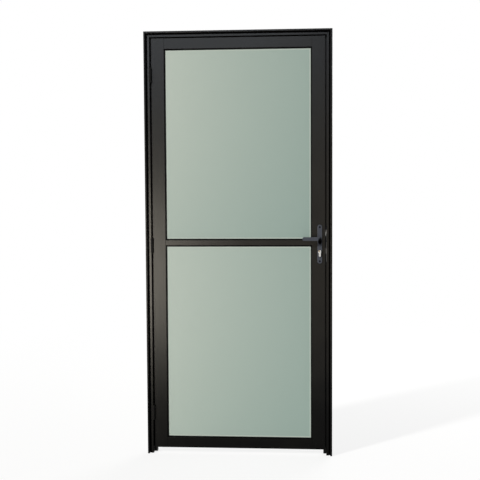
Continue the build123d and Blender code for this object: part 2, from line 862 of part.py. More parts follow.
with BuildPart() as lock_case:
    with Locations((case_middle, 0, case_level)):
        Box(case_depth, case_thickness, case_height)
        Box(
            case_depth - 2 * case_wall,
            case_thickness - 2 * case_wall,
            case_height - 2 * case_wall,
            mode=Mode.SUBTRACT,
        )
    with BuildSketch(plug_plane):
        add(cylinder_outline(part_gap))
        with Locations((0, plug_drop)):
            Circle(follower_radius + running_gap)
    extrude(amount=case_thickness, both=True, mode=Mode.SUBTRACT)
    with BuildSketch(Plane.YZ.offset(case_front + overrun)):
        with Locations((0, latch_level)):
            Rectangle(*latch_way)
        with Locations((0, bolt_level)):
            Rectangle(*bolt_way)
        with Locations((0, cylinder_screw_level)):
            Circle(cylinder_screw_radius + part_gap)
    extrude(amount=-case_wall - 2 * overrun, mode=Mode.SUBTRACT)
write(lock_case, "lock_case")

faceplate_seats = [
    Plane(origin=(faceplate_face, 0, level), z_dir=(1, 0, 0)) for level in faceplate_screw_levels
]
cylinder_screw_seat = Plane(origin=(faceplate_face, 0, cylinder_screw_level), z_dir=(1, 0, 0))
with BuildPart() as faceplate:
    with BuildSketch(Plane.YZ.offset(leaf_half)):
        with Locations((0, case_level)):
            RectangleRounded(faceplate_width, faceplate_top - faceplate_bottom, faceplate_round)
        with Locations((0, latch_level)):
            Rectangle(*latch_way, mode=Mode.SUBTRACT)
        with Locations((0, bolt_level)):
            Rectangle(*bolt_way, mode=Mode.SUBTRACT)
    extrude(amount=faceplate_thickness)
    with Locations(*faceplate_seats):
        CounterSinkHole(
            screw_radius + hole_gap, screw_head_radius + hole_gap, overrun, counter_sink_angle=90
        )
    with Locations(cylinder_screw_seat):
        CounterSinkHole(
            cylinder_screw_radius + hole_gap,
            cylinder_screw_head + hole_gap,
            overrun,
            counter_sink_angle=90,
        )
write(faceplate, "lock_faceplate")
write(
    countersunk(faceplate_seats, screw_radius, screw_head_radius, faceplate_screw_length),
    "faceplate_screws",
)
cylinder_screw_length = faceplate_face - lock_x + cylinder_web / 2
write(
    countersunk(
        [cylinder_screw_seat], cylinder_screw_radius, cylinder_screw_head, cylinder_screw_length
    ),
    "cylinder_screw",
)

# The latch's nose is bevelled on the side that meets the strike as the door shuts
latch_tip = faceplate_face + latch_throw
latch_tail = latch_tip - latch_throw - latch_length
with BuildPart() as latch_bolt:
    with BuildSketch(Plane.XY.offset(latch_level - latch_height / 2)):
        with BuildLine():
            Polyline(
                (latch_tail, -latch_thickness / 2),
                (latch_tip, -latch_thickness / 2),
                (latch_tip, -latch_thickness / 2 + latch_nose),
                (latch_tip - latch_bevel, latch_thickness / 2),
                (latch_tail, latch_thickness / 2),
                close=True,
            )
        make_face()
    extrude(amount=latch_height)
write(latch_bolt, "latch_bolt")

bolt_tip = faceplate_face - bolt_recess
bolt_tail = bolt_tip - bolt_throw - bolt_guide
bolt_bottom = bolt_level - bolt_height / 2
with BuildPart() as dead_bolt:
    with BuildSketch(Plane.XZ.offset(-bolt_thickness / 2)):
        with BuildLine():
            Polyline(
                (bolt_tail, bolt_bottom - bolt_lug_height),
                (bolt_tail + bolt_lug_length, bolt_bottom - bolt_lug_height),
                (bolt_tail + bolt_lug_length, bolt_bottom),
                (bolt_tip, bolt_bottom),
                (bolt_tip, bolt_bottom + bolt_height),
                (bolt_tail, bolt_bottom + bolt_height),
                close=True,
            )
        make_face()
    extrude(amount=bolt_thickness)
write(dead_bolt, "dead_bolt")

# The follower turns in the case, and its arm draws the latch back
socket_side = spindle_side + 2 * running_gap
with BuildPart() as follower:
    with BuildSketch(lever_plane):
        Circle(follower_radius)
    extrude(amount=case_thickness / 2, both=True)
    with BuildSketch(lever_plane):
        with Locations((0, follower_arm_reach / 2)):
            Rectangle(follower_arm_width, follower_arm_reach)
    extrude(amount=follower_arm_thickness / 2, both=True)
    with BuildSketch(lever_plane):
        Rectangle(socket_side, socket_side)
    extrude(amount=case_thickness, both=True, mode=Mode.SUBTRACT)
write(follower, "lock_follower")

spindle_half = leaf_thickness / 2 + plate_depth + spindle_engagement
with BuildPart() as spindle:
    with BuildSketch(lever_plane):
        Rectangle(spindle_side, spindle_side)
    extrude(amount=spindle_half, both=True)
write(spindle, "spindle")

# Profile cylinder: a body with a gap for the cam, and a plug at each end
cam_gap_half = cam_thickness / 2 + cam_slot_gap
bridge_drop = cam_reach + cam_slot_gap
with BuildPart() as cylinder_body:
    with BuildSketch(plug_plane):
        add(cylinder_outline(0))
        Circle(plug_radius + running_gap, mode=Mode.SUBTRACT)
    extrude(amount=cylinder_half_length, both=True)
    with BuildSketch(plug_plane):
        with Locations((0, cylinder_radius + overrun)):
            gap_height = bridge_drop + cylinder_radius + overrun
            Rectangle(cylinder_height, gap_height, align=(Align.CENTER, Align.MAX))
    extrude(amount=cam_gap_half, both=True, mode=Mode.SUBTRACT)
    with BuildSketch(Plane.YZ.offset(lock_x)):
        with Locations((0, cylinder_screw_level)):
            Circle(cylinder_screw_radius + running_gap)
    extrude(amount=cylinder_web, both=True, mode=Mode.SUBTRACT)
write(cylinder_body, "cylinder_body")

for side, plug_name in ((-1, "front_plug"), (1, "back_plug")):
    plug_length = cylinder_half_length + plug_proud - cam_thickness / 2
    with BuildPart() as plug:
        with BuildSketch(facing(side, plug_level, cam_thickness / 2 - leaf_thickness / 2)):
            Circle(plug_radius)
        extrude(amount=plug_length)
        key_face = cylinder_half_length + plug_proud - leaf_thickness / 2
        with BuildSketch(facing(side, plug_level, key_face)):
            Rectangle(key_slot_width, key_slot_height)
        extrude(amount=-key_slot_depth, mode=Mode.SUBTRACT)
    write(plug, plug_name)

with BuildPart() as cylinder_cam:
    with BuildSketch(plug_plane):
        Circle(cam_radius)
        with Locations((0, -(cam_reach - cam_tooth_width / 2) / 2)):
            Rectangle(cam_tooth_width, cam_reach - cam_tooth_width / 2)
        with Locations((0, -cam_reach + cam_tooth_width / 2)):
            Circle(cam_tooth_width / 2)
    extrude(amount=cam_thickness / 2, both=True)
write(cylinder_cam, "cylinder_cam")

# Handle plates on both faces, drawn together by two long screws
plate_seats = [
    Plane(origin=(lock_x, leaf_front - plate_depth, level), z_dir=(0, -1, 0))
    for level in plate_screw_levels
]
for side, plate_name in ((-1, "front_plate"), (1, "back_plate")):
    with BuildPart() as plate:
        with BuildSketch(facing(side, plate_level, 0)):
            SlotOverall(plate_height, plate_width, rotation=90)
        extrude(amount=plate_depth)
        outer_face = plate.faces().sort_by(Axis.Y)[0 if side < 0 else -1]
        fillet(outer_face.edges(), radius=plate_round)
        with BuildSketch(facing(side, plug_level, -overrun)):
            add(cylinder_outline(cylinder_gap))
            with Locations((0, plug_drop)):
                Circle(neck_radius + part_gap)
        extrude(amount=plate_depth + 2 * overrun, mode=Mode.SUBTRACT)
        if side < 0:
            with Locations(*plate_seats):
                CounterSinkHole(
                    plate_screw_radius + hole_gap,
                    plate_screw_head + hole_gap,
                    plate_depth + overrun,
                    counter_sink_angle=90,
                )
        else:
            with BuildSketch(facing(side, plate_level, -overrun)):
                with Locations(*[(0, level - plate_level) for level in plate_screw_levels]):
                    Circle(plate_screw_radius + running_gap)
            extrude(amount=plate_depth + overrun - plate_screw_seat, mode=Mode.SUBTRACT)
    write(plate, plate_name)

plate_screw_length = leaf_thickness + 2 * plate_depth - 2 * plate_screw_seat
write(
    countersunk(plate_seats, plate_screw_radius, plate_screw_head, plate_screw_length),
    "plate_screws",
)

# Lever handles: a flat bar bent at its root, with a round tip and a collar that turns in the plate
for side, lever_name in ((-1, "front_lever"), (1, "back_lever")):
    root_y = side * (leaf_thickness / 2 + plate_depth + part_gap)
    bar_y = side * (leaf_thickness / 2 + lever_stand - lever_thickness / 2)
    tip_x = lock_x - lever_reach + lever_height / 2
    tip_centre = (tip_x, bar_y, lever_level)
    with BuildPart() as lever:
        with BuildLine():
            FilletPolyline(
                (lock_x, root_y, lever_level),
                (lock_x, bar_y, lever_level),
                tip_centre,
                radius=lever_bend,
            )
        with BuildSketch(facing(side, lever_level, plate_depth + part_gap)):
            RectangleRounded(lever_thickness, lever_height, lever_round)
        sweep()
        with BuildSketch(Plane(origin=tip_centre, x_dir=(0, 1, 0), z_dir=(1, 0, 0))):
            RectangleRounded(lever_thickness, lever_height, lever_round)
            with Locations((0, -lever_height / 2)):
                Rectangle(lever_thickness, lever_height, mode=Mode.SUBTRACT)
        revolve(axis=Axis(tip_centre, (0, -1, 0)), revolution_arc=180)
        with BuildSketch(facing(side, lever_level, part_gap)):
            Circle(neck_radius)
        extrude(amount=plate_depth + collar_height)
        with BuildSketch(facing(side, lever_level, 0)):
            Rectangle(socket_side, socket_side)
        extrude(amount=plate_depth + spindle_engagement + running_gap, mode=Mode.SUBTRACT)
    write(lever, lever_name)
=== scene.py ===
import math

import bmesh
import bpy
from mathutils import Matrix, Vector


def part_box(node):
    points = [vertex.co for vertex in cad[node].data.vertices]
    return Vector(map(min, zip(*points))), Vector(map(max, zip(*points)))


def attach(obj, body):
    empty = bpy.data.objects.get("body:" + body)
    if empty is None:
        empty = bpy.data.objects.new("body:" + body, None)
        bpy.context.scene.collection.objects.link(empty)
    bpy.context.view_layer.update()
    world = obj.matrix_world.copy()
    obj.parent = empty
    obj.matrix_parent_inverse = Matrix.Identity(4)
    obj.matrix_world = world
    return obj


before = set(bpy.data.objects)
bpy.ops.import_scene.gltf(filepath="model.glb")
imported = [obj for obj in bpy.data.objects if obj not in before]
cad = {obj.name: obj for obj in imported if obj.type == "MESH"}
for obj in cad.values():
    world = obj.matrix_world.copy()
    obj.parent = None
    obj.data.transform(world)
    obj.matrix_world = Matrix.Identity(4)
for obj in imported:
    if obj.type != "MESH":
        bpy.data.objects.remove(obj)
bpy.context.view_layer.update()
print("frame loaded,", len(cad), "nodes")


class Wire:  # a socket that can stand in a sum
    def __init__(self, tree, socket=None):
        self.tree = tree
        self.socket = socket

    def node(self, kind, settings=None, sockets=None, out=0):
        made = self.tree.nodes.new("ShaderNode" + kind)
        for name, value in (settings or {}).items():
            setattr(made, name, value)
        for key, value in (sockets or {}).items():
            if isinstance(value, Wire):
                self.tree.links.new(value.socket, made.inputs[key])
            else:
                made.inputs[key].default_value = value
        return Wire(self.tree, made.outputs[out] if made.outputs else None)

    def math(self, operation, *values):
        return self.node("Math", {"operation": operation}, dict(enumerate(values)))

    def __add__(self, other):
        return self.math("ADD", self, other)

    def __radd__(self, other):
        return self.math("ADD", other, self)

    def __sub__(self, other):
        return self.math("SUBTRACT", self, other)

    def __rsub__(self, other):
        return self.math("SUBTRACT", other, self)

    def __mul__(self, other):
        return self.math("MULTIPLY", self, other)

    def __rmul__(self, other):
        return self.math("MULTIPLY", other, self)

    def __truediv__(self, other):
        return self.math("DIVIDE", self, other)

    def __rtruediv__(self, other):
        return self.math("DIVIDE", other, self)

    def __abs__(self):
        return self.math("ABSOLUTE", self)


def lesser(first, second):
    return first.math("MINIMUM", first, second)


def greater(first, second):
    return first.math("MAXIMUM", first, second)


def ease(value, start, end):  # 0 before start, 1 after end
    return value.node("MapRange", {"interpolation_type": "SMOOTHSTEP"},
                      {"Value": value, "From Min": start, "From Max": end})


def fade(value, start, end):  # 1 before start, 0 after end
    return 1 - ease(value, start, end)


def sway(value, share):  # how far a noise swings about its middle
    return (value - 0.5) * share


def rgba(colour):
    return colour if isinstance(colour, Wire) else (*colour, 1.0)


def blend(mask, first, second):  # 6, 7 and 2 are the colour sockets of a Mix node
    return mask.node("Mix", {"data_type": "RGBA"}, {0: mask, 6: rgba(first), 7: rgba(second)}, out=2)


def noise(place, size, detail, stretch=None):  # size of one patch, in metres
    if stretch:
        place = place.node("VectorMath", {"operation": "MULTIPLY"}, {0: place, 1: stretch})
    return place.node("TexNoise", {}, {"Vector": place, "Scale": 1 / size, "Detail": detail})


def axes(place, ways="XYZ"):
    return [place.node("SeparateXYZ", {}, {0: place}, out=way) for way in ways]


def length(place):
    return place.node("VectorMath", {"operation": "LENGTH"}, {0: place}, out="Value")


def bump(height, depth):  # height from 0 to 1 over a depth in metres
    return height.node("Bump", {}, {"Height": height, "Distance": depth, "Strength": 1.0})


def makeFinish(name, fixed, layers):
    finish = bpy.data.materials.new(name)
    finish.use_nodes = True
    finish.node_tree.nodes.clear()
    start = Wire(finish.node_tree)
    place = start.node("TexCoord", out="Object")
    shader = start.node("BsdfPrincipled", {}, {**fixed, **layers(place)})
    start.node("OutputMaterial", {}, {"Surface": shader})
    return finish


def dress(finish, *names):
    for name in names:
        cad[name].data.materials.clear()
        cad[name].data.materials.append(finish)


def edgeRub(place, box, along, width):  # near the long edges of a straight member
    gaps = []
    for value, low, high, way in zip(axes(place), *box, "xyz"):
        if way != along:
            gaps.append(lesser(value - low, high - value))
    return fade(greater(*gaps), width / 2, width)


# black powder coat on the frame and the leaf
coat = {
    "black": (0.0042, 0.0042, 0.0043),
    "cloud": (0.0062, 0.0061, 0.0058), "cloudSize": 0.16, "cloudRange": (0.3, 0.75), "cloudRough": 0.08,
    "rubbed": (0.020, 0.0195, 0.019), "rubWidth": 0.0016, "rubSize": 0.02, "rubRange": (0.3, 0.65),
    "rubShare": 0.25, "rubRough": 0.05,
    "grainSize": 0.0009, "grainRange": (0.62, 0.72), "grainShare": 0.2, "grainRelief": 0.2,   # of the powder
    "peelSize": 0.0045, "peelRelief": 0.7,                                       # waves of the orange peel
    "dieSize": 0.0016, "dieStretch": 0.004, "dieRelief": 0.1, "dieRough": 0.08,  # lines along the member
    "depth": 0.00003, "trimDepth": 0.00001,
    "roughness": 0.30,
    "specular": 0.06, "ownSpecular": {"hinge_jamb": 0.085, "hinge_side_trim": 0.03},
    "members": {   # and the way that each one runs
        "hinge_jamb": "z", "lock_jamb": "z", "head_jamb": "x",
        "hinge_side_trim": "z", "lock_side_trim": "z", "head_trim": "x",
        "hinge_stile": "z", "lock_stile": "z",
        "top_rail": "x", "mid_rail": "x", "bottom_rail": "x",
        "upper_bottom_bead": "x", "upper_top_bead": "x",
        "lower_bottom_bead": "x", "lower_top_bead": "x",
        "upper_hinge_side_bead": "z", "upper_lock_side_bead": "z",
        "lower_hinge_side_bead": "z", "lower_lock_side_bead": "z",
    },
}

# painted shade on the coat in the groove, the gap, on the glazing lips and towards the floor, and dark joint lines
# where a rail meets a stile: depths run in from the front, half widths from the middle of the leaf
coatShadeAndJoints = {
    "black": (0.0003, 0.0003, 0.0003),
    "softEdge": 0.0004,
    "groove": (-0.0272, -0.0255),   # from the mouth of the trims' groove to its floor
    "gapMouth": (-0.01595, -0.0154), "gapEnd": (-0.0060, 0.0020), "gapShare": 0.9,
    "rebateHalf": 0.4360, "rebateTop": 2.0860,
    "ridge": {"hinge_jamb": 0.0034, "head_jamb": 0.0028, "lock_jamb": 0.0008}, "ridgeSolid": 0.7,
    "leafEdge": {"hinge_stile": 0.4275, "lock_stile": 0.4293}, "leafEdgeSoft": 0.0001, "leafEdgeShare": 0.8,
    "stileLip": 0.3656, "topLip": 2.0289, "bottomLip": 0.0821, "midLevel": 1.0695, "midLip": 0.0131,
    "joint": 0.0014, "jointEnd": (-0.0146, -0.0060), "jointShare": 0.7,   # line where a rail meets a stile
    "footTop": 0.60, "footShare": 0.50,                                   # painted shade: the coat is darkest near the floor
}


def shadeAndJointsOnCoat(name, place):  # painted shade in the groove and the gap and on the glazing lips, dark joint lines at the rails' ends
    x, y, z = axes(place)
    soft = coatShadeAndJoints["softEdge"]
    if "trim" in name:
        return ease(y, *coatShadeAndJoints["groove"])
    if "jamb" in name:
        edge = z - coatShadeAndJoints["rebateTop"] if name == "head_jamb" else abs(x) - coatShadeAndJoints["rebateHalf"]
        ridge = coatShadeAndJoints["ridge"][name]
        gap = greater(ease(y, *coatShadeAndJoints["gapMouth"]), fade(edge, ridge * coatShadeAndJoints["ridgeSolid"], ridge))
        return gap * (coatShadeAndJoints["gapShare"] * fade(y, *coatShadeAndJoints["gapEnd"]))
    if "stile" in name:
        leafEdge = coatShadeAndJoints["leafEdge"][name]
        edge = ease(abs(x), leafEdge, leafEdge + coatShadeAndJoints["leafEdgeSoft"])
        lip = fade(abs(x), coatShadeAndJoints["stileLip"] - soft, coatShadeAndJoints["stileLip"])
        return greater(lip, edge * (coatShadeAndJoints["leafEdgeShare"] * fade(y, *coatShadeAndJoints["gapEnd"])))
    if "rail" not in name:
        return None   # the beads get no painted shade
    joint = ease(abs(x), coatShadeAndJoints["stileLip"] - coatShadeAndJoints["joint"], coatShadeAndJoints["stileLip"] - coatShadeAndJoints["joint"] / 2)
    joint = joint * (coatShadeAndJoints["jointShare"] * fade(y, *coatShadeAndJoints["jointEnd"]))
    if name == "top_rail":
        return greater(joint, fade(z, coatShadeAndJoints["topLip"] - soft, coatShadeAndJoints["topLip"]))
    if name == "bottom_rail":
        return greater(joint, ease(z, coatShadeAndJoints["bottomLip"], coatShadeAndJoints["bottomLip"] + soft))
    return greater(joint, ease(abs(z - coatShadeAndJoints["midLevel"]), coatShadeAndJoints["midLip"], coatShadeAndJoints["midLip"] + soft))


def powderCoat(name, along):
    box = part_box(name)
    isTrim = "trim" in name
    drawn = coat["dieStretch"]
    stretch = (1.0, 1.0, drawn) if along == "z" else (drawn, 1.0, 1.0)

    def layers(place):
        cloud = noise(place, coat["cloudSize"], detail=3)
        grain = noise(place, coat["grainSize"], detail=1)
        peel = noise(place, coat["peelSize"], detail=1)
        dieLines = noise(place, coat["dieSize"], detail=2, stretch=stretch)
        patchy = ease(noise(place, coat["rubSize"], detail=3), *coat["rubRange"])
        rub = edgeRub(place, box, along, coat["rubWidth"]) * patchy
        colour = blend(ease(cloud, *coat["cloudRange"]), coat["black"], coat["cloud"])
        if not isTrim:
            colour = blend(ease(grain, *coat["grainRange"]) * coat["grainShare"], colour, coat["rubbed"])
            colour = blend(rub * coat["rubShare"], colour, coat["rubbed"])
        rough = coat["roughness"] + sway(cloud, coat["cloudRough"]) + sway(dieLines, coat["dieRough"])
        relief = peel * coat["peelRelief"] + grain * coat["grainRelief"] + dieLines * coat["dieRelief"]
        sockets = {"Roughness": rough - rub * coat["rubRough"],
                   "Normal": bump(relief, coat["trimDepth" if isTrim else "depth"])}
        # painted shade and dark joint lines on the coat
        paintedDark = shadeAndJointsOnCoat(name, place)
        if paintedDark:
            # painted shade, darker towards the floor
            foot = coatShadeAndJoints["footShare"] * fade(*axes(place, "Z"), 0.0, coatShadeAndJoints["footTop"])
            paintedDark = greater(paintedDark, foot)
            colour = blend(paintedDark, colour, coatShadeAndJoints["black"])
            sockets["Metallic"] = paintedDark   # the painted shade is a black metal, which gives back no gloss
        sockets["Base Color"] = colour
        return sockets

    gloss = coat["ownSpecular"].get(name, coat["specular"])
    return makeFinish("powder_coat_" + name, {"Specular IOR Level": gloss}, layers)


for name, along in coat["members"].items():
    dress(powderCoat(name, along), name)
print("powder coat on", len(coat["members"]), "members")


# the two panes, grey-green, with a painted light gradient: paler at the upper hinge side, darker towards the lower
# lock side
pane = {
    "names": ("upper_glass", "lower_glass"),
    "pale": (0.448, 0.505, 0.441), "deep": (0.257, 0.341, 0.302),
    # painted light: how the gradient runs across each pane
    "gradientDown": 0.35, "gradientFull": 1.25, "gradientCurve": 0.35,
    "sight": 0.0100,   # how far the pane runs in under the gasket
    # painted highlight: a paler rim along each pane's edges; the specks take the same colour
    "rim": (0.50, 0.56, 0.49), "rimRange": (0.00372, 0.00806), "rimShare": 0.6,
    "smearSize": 0.09, "smearStretch": (1.0, 1.0, 0.45), "smearRange": (0.45, 0.75), "smearRough": 0.07,
    "speckSize": 0.0022, "speckRange": (0.70, 0.80), "speckShare": 0.06,
    "speckRoughRange": (0.66, 0.78), "speckRough": 0.06,
    "waveSize": 0.25, "waveDepth": 0.0004,
    "roughness": 0.10, "through": 0.12, "bending": 1.52,
}


def paneGlass(name):
    low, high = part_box(name)

    def layers(place):
        x, z = axes(place, "XZ")
        acrossPane = (x - low[0]) / (high[0] - low[0])
        downPane = (high[2] - z) / (high[2] - low[2])
        # painted light gradient, paler at the upper hinge side
        paintedGradient = (acrossPane + downPane * downPane * pane["gradientDown"]) / pane["gradientFull"]
        paintedGradient = paintedGradient * (1 + pane["gradientCurve"] - paintedGradient * pane["gradientCurve"])
        inset = lesser(lesser(x - low[0], high[0] - x), lesser(z - low[2], high[2] - z)) - pane["sight"]
        # painted highlight along the pane's edges
        rim = fade(inset, *pane["rimRange"]) * pane["rimShare"]
        smear = noise(place, pane["smearSize"], detail=4, stretch=pane["smearStretch"])
        speck = noise(place, pane["speckSize"], detail=1)
        wave = noise(place, pane["waveSize"], detail=1)
        colour = blend(rim, blend(paintedGradient, pane["pale"], pane["deep"]), pane["rim"])
        colour = blend(ease(speck, *pane["speckRange"]) * pane["speckShare"], colour, pane["rim"])
        rough = pane["roughness"] + ease(smear, *pane["smearRange"]) * pane["smearRough"]
        rough = rough + ease(speck, *pane["speckRoughRange"]) * pane["speckRough"]
        return {"Base Color": colour, "Roughness": rough, "Normal": bump(wave, pane["waveDepth"])}

    return makeFinish("pane_" + name, {"IOR": pane["bending"], "Transmission Weight": pane["through"]}, layers)


for name in pane["names"]:
    dress(paneGlass(name), name)
print("panes done")


# gaskets and seals
rubber = {
    "black": (0.0065, 0.0065, 0.0070), "roughness": 0.72, "sealSheen": 0.10, "specular": 0.25,
    "bloom": (0.016, 0.016, 0.0165), "bloomSize": 0.035, "bloomRange": (0.45, 0.8),
    "bloomShare": 0.6, "bloomRough": 0.16,
    "poreSize": 0.0007, "poreDepth": 0.00002,
}


def softRubber(name, sheen):
    def layers(place):
        bloom = noise(place, rubber["bloomSize"], detail=3)
        pores = noise(place, rubber["poreSize"], detail=2)
        white = ease(bloom, *rubber["bloomRange"]) * rubber["bloomShare"]
        return {"Base Color": blend(white, rubber["black"], rubber["bloom"]),
                "Roughness": rubber["roughness"] - sheen + sway(bloom, rubber["bloomRough"]),
                "Normal": bump(pores, rubber["poreDepth"])}

    return makeFinish(name, {"Specular IOR Level": rubber["specular"]}, layers)


dress(softRubber("gasket_rubber", 0.0), "upper_front_gasket", "lower_front_gasket",
      "upper_back_gasket", "lower_back_gasket")
dress(softRubber("seal_rubber", rubber["sealSheen"]), "hinge_side_seal", "lock_side_seal", "head_seal")


# nylon plugs and setting blocks
nylon = {
    "dark": (0.012, 0.012, 0.013), "pale": (0.026, 0.026, 0.027), "roughness": 0.55, "specular": 0.35,
    "flowSize": 0.012, "flowStretch": (1.0, 1.0, 0.4), "flowRange": (0.35, 0.7), "flowRough": 0.12,
    "sparkSize": 0.0006, "sparkDepth": 0.000025,   # spark-eroded skin of the mould
}


def mouldedNylon(place):
    flow = noise(place, nylon["flowSize"], detail=3, stretch=nylon["flowStretch"])
    spark = noise(place, nylon["sparkSize"], detail=1)
    return {"Base Color": blend(ease(flow, *nylon["flowRange"]), nylon["dark"], nylon["pale"]),
            "Roughness": nylon["roughness"] + sway(flow, nylon["flowRough"]),
            "Normal": bump(spark, nylon["sparkDepth"])}


dress(makeFinish("moulded_nylon", {"Specular IOR Level": nylon["specular"]}, mouldedNylon),
      "setting_blocks", "stile_end_caps")


# cleats and connectors inside the members
castMetal = {
    "pale": (0.52, 0.52, 0.51), "dull": (0.34, 0.34, 0.335), "roughness": 0.46,
    "skinSize": 0.008, "skinRough": 0.2,
    "pitSize": 0.0012, "pitDepth": 0.00008,
}


def castAluminium(place):
    skin = noise(place, castMetal["skinSize"], detail=4)
    pits = noise(place, castMetal["pitSize"], detail=2)
    return {"Base Color": blend(skin, castMetal["pale"], castMetal["dull"]),
            "Roughness": castMetal["roughness"] + sway(skin, castMetal["skinRough"]),
            "Normal": bump(pits, castMetal["pitDepth"])}


dress(makeFinish("cast_aluminium", {"Metallic": 1.0}, castAluminium), "corner_cleats", "rail_connectors")


# black hinges, rubbed where the knuckles turn, with a painted highlight on the barrels' side towards the hinge jamb
hinge = {
    "parts": ["hinge_pins"] + [at + part for at in ("bottom", "middle", "top")
                               for part in ("_hinge_frame_leaf", "_hinge_door_leaf")],
    "black": (0.0022, 0.0022, 0.0024), "roughness": 0.44, "specular": 0.035,
    "cloudSize": 0.03, "cloudRange": (0.45, 0.6), "cloudRough": 0.12,
    "grainSize": 0.0008, "grainRelief": 0.6,
    "turnedSize": 0.004, "turnedStretch": (0.2, 0.2, 1.0), "turnedRange": (0.62, 0.74), "turnedRelief": 0.4,
    "depth": 0.00003,
    "rubbed": (0.022, 0.022, 0.021), "rubShare": 0.3, "rubRough": 0.12,
    # painted highlight on the barrels' flank towards the hinge jamb
    "paintedLit": (0.011, 0.0102, 0.009), "paintedLitLeast": 0.6, "paintedLitSwing": 0.4,
    "paintedLitAcross": (-0.43675, -0.43225), "paintedLitBack": (-0.0166, -0.0156),   # the painted highlight ends near the pin, and behind the barrel
}


def hingeBlack(place):
    x, y = axes(place, "XY")
    cloud = noise(place, hinge["cloudSize"], detail=3)
    grain = noise(place, hinge["grainSize"], detail=1)
    turned = noise(place, hinge["turnedSize"], detail=2, stretch=hinge["turnedStretch"])
    rub = ease(turned, *hinge["turnedRange"]) * ease(cloud, *hinge["cloudRange"])
    # painted highlight on the barrel's flank towards the jamb, varied by the cloud
    paintedLitMask = fade(x, *hinge["paintedLitAcross"]) * fade(y, *hinge["paintedLitBack"])
    paintedLitMask = paintedLitMask * (hinge["paintedLitLeast"] + hinge["paintedLitSwing"] * cloud)
    colour = blend(rub * hinge["rubShare"], hinge["black"], hinge["rubbed"])
    return {"Base Color": blend(paintedLitMask, colour, hinge["paintedLit"]),
            "Roughness": hinge["roughness"] + sway(cloud, hinge["cloudRough"]) - rub * hinge["rubRough"],
            "Normal": bump(grain * hinge["grainRelief"] + turned * hinge["turnedRelief"], hinge["depth"])}


dress(makeFinish("hinge_black", {"Specular IOR Level": hinge["specular"]}, hingeBlack), *hinge["parts"])


# matt blue-grey coat on the plates and levers, with painted shadows on the front ones
handle = {
    "names": ("front_plate", "back_plate", "front_lever", "back_lever"),
    "grey": (0.047, 0.051, 0.062), "roughness": 0.50, "specular": 0.08,
    "cloud": (0.055, 0.059, 0.071), "cloudSize": 0.025, "cloudRange": (0.3, 0.7), "cloudRough": 0.14,
    "grainSize": 0.0006, "grainDepth": 0.000025,
    "polished": (0.078, 0.081, 0.090), "rubWidth": 0.003, "rubSize": 0.012, "rubRange": (0.35, 0.6),
    "rubShare": 0.8, "rubRough": 0.14,
    "shade": (0.0006, 0.0006, 0.0007), "paintedDarkEnd": 1.1,
    "paintedDark": (   # painted shadows under the front lever's neck, beside the front cylinder and round the plate's screws
        {"at": (0.4043, 1.0768), "reach": (0.0115, 0.0195), "thins": 0.35},
        {"at": (0.4055, 1.0158), "reach": (0.0110, 0.0200), "thins": 0.75},
        {"at": (0.4035, 1.1470), "reach": (0.0044, 0.0044), "thins": 0.70},
        {"at": (0.4035, 0.9780), "reach": (0.0044, 0.0044), "thins": 0.70},
    ),
}


# painted shadows on the front plate and lever
def paintedShadowsOnHandle(place):
    x, z = axes(place, "XZ")
    paintedDark = x * 0.0
    for patch in handle["paintedDark"]:
        across = (x - patch["at"][0]) / patch["reach"][0]
        up = (z - patch["at"][1]) / patch["reach"][1]
        paintedDark = greater(paintedDark, fade(across * across + up * up, patch["thins"], handle["paintedDarkEnd"]))
    return paintedDark


def handleCoat(name):
    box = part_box(name)
    along = "x" if "lever" in name else "z"

    def layers(place):
        cloud = noise(place, handle["cloudSize"], detail=3)
        grain = noise(place, handle["grainSize"], detail=1)
        patchy = ease(noise(place, handle["rubSize"], detail=3), *handle["rubRange"])
        rub = edgeRub(place, box, along, handle["rubWidth"]) * patchy
        colour = blend(ease(cloud, *handle["cloudRange"]), handle["grey"], handle["cloud"])
        colour = blend(rub * handle["rubShare"], colour, handle["polished"])
        rough = handle["roughness"] + sway(cloud, handle["cloudRough"]) - rub * handle["rubRough"]
        sockets = {"Roughness": rough, "Normal": bump(grain, handle["grainDepth"])}
        if "front" in name:
            # painted shadows on the front plate and lever
            paintedDark = paintedShadowsOnHandle(place)
            colour = blend(paintedDark, colour, handle["shade"])
            sockets["Metallic"] = paintedDark   # the painted shadow is a black metal, which gives back no gloss
        sockets["Base Color"] = colour
        return sockets

    return makeFinish("handle_coat_" + name, {"Specular IOR Level": handle["specular"]}, layers)


for name in handle["names"]:
    dress(handleCoat(name), name)


# brushed stainless steel of the lock; the plates on the edges get a painted shade and painted glints
lockSteel = {
    "pale": (0.52, 0.52, 0.50), "dull": (0.34, 0.34, 0.33),               # bolts and works
    "plate": (0.012, 0.012, 0.013), "plateStain": (0.0084, 0.0084, 0.0091),   # painted shade: the plates on the edges darkened
    "roughness": 0.30,
    "lineSize": 0.0005, "lineStretch": (1.0, 1.0, 0.03), "lineRough": 0.20, "lineDepth": 0.00001,
    "stainSize": 0.03, "stainRange": (0.35, 0.75), "stainRough": 0.1,
    # painted glints in bands on the edge plates
    "wearAndGlint": (0.17, 0.160, 0.148), "glintLeast": 0.75, "glintSwing": 0.25, "bandEdge": 0.0015,
    "bands": {   # from, to and strength of each painted glint
        "strike_plate": (
            (0.9745, 1.0140, 0.40), (1.0140, 1.0420, 0.80), (1.0420, 1.0740, 0.35),
            (1.0790, 1.1140, 0.20), (1.1140, 1.1340, 0.85)),
        "lock_faceplate": ((1.0140, 1.0420, 0.55), (1.1140, 1.1340, 0.55)),
    },
}


